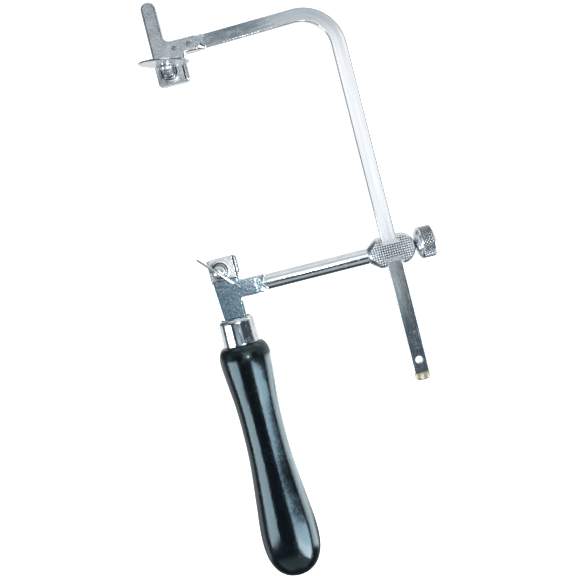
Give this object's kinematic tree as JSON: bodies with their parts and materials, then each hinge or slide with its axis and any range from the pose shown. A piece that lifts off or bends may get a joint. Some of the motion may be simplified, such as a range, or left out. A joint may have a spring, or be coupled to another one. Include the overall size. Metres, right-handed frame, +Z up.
{
  "type": "jeweler saw frame",
  "caption": "Adjustable C-shaped metalworking saw frame with a turned dark wood handle, sliding bow, knurled lock knob and wing-screw blade clamps.",
  "frame": {"origin": "middle of the outline, on the surface the tool lies on", "axes": "+Y from the handle's butt to the horn, +X from the blade side to the spine, +Z up towards the wing screws"},
  "size_m": [0.1274, 0.3096, 0.0558],
  "materials": {
    "lacquered_wood": "gloss black lacquer over turned wood",
    "ferrule_chrome": "polished",
    "plated_casting": "nickel plated, pebbled satin faces",
    "spine_steel": "nickel plated, drawn and lightly scratched",
    "arm_steel": "nickel plated, bright",
    "pin_steel": "filed flush",
    "screw_steel": "nickel plated, turned and knurled",
    "brass": "knurled, unplated"
  },
  "bodies": {
    "handle_side": {"handle": "lacquered_wood", "ferrule": "ferrule_chrome", "lower_head": "plated_casting", "lower_arm_rod": "arm_steel", "lower_arm_pin": "pin_steel", "slider_barrel": "arm_steel"},
    "bow": {"spine_bar": "spine_steel", "spine_end_screw": "brass", "upper_head": "plated_casting", "upper_head_pin_1": "pin_steel", "upper_head_pin_2": "pin_steel"},
    "frame_pad": {"clamp_pad": "brass"},
    "frame_screw": {"clamp_stud": "screw_steel", "clamp_knob": "screw_steel"},
    "upper_clamp": {"upper_clamp_plate": "screw_steel", "upper_clamp_washer": "screw_steel"},
    "upper_wing": {"upper_clamp_screw": "screw_steel", "upper_wing_disc": "screw_steel"},
    "lower_clamp": {"lower_clamp_plate": "screw_steel", "lower_clamp_washer": "screw_steel"},
    "lower_wing": {"lower_clamp_screw": "screw_steel", "lower_wing_disc": "screw_steel"}
  },
  "joints": [
    {"name": "bow_slide", "type": "slide", "parent": "handle_side", "child": "bow", "axis": [0, 1, 0], "range_m": [-0.085, 0.055]},
    {"name": "frame_pad_slide", "type": "slide", "parent": "handle_side", "child": "frame_pad", "axis": [1, 0, 0], "range_m": [0, 0.0029]},
    {"name": "frame_screw_turn", "type": "hinge", "parent": "frame_pad", "child": "frame_screw", "pos_m": [0.0514, -0.0025, 0.0151], "axis": [1, 0, 0], "range_deg": [0, 1440]},
    {"name": "upper_clamp_slide", "type": "slide", "parent": "bow", "child": "upper_clamp", "axis": [0, 0, 1], "range_m": [0, 0.0025]},
    {"name": "upper_wing_turn", "type": "hinge", "parent": "upper_clamp", "child": "upper_wing", "pos_m": [-0.0504, 0.1161, 0.0201], "axis": [0, 0, 1], "range_deg": [0, 1080]},
    {"name": "lower_clamp_slide", "type": "slide", "parent": "handle_side", "child": "lower_clamp", "axis": [0, 0, 1], "range_m": [0, 0.0025]},
    {"name": "lower_wing_turn", "type": "hinge", "parent": "lower_clamp", "child": "lower_wing", "pos_m": [-0.0501, 0.0093, 0.0201], "axis": [0, 0, 1], "range_deg": [0, 1080]}
  ],
  "couplings": [
    {"joint": "frame_pad_slide", "follows": "frame_screw_turn", "m_per_rad": 0.00011141},
    {"joint": "upper_clamp_slide", "follows": "upper_wing_turn", "m_per_rad": 0.00012732},
    {"joint": "lower_clamp_slide", "follows": "lower_wing_turn", "m_per_rad": 0.00012732}
  ]
}
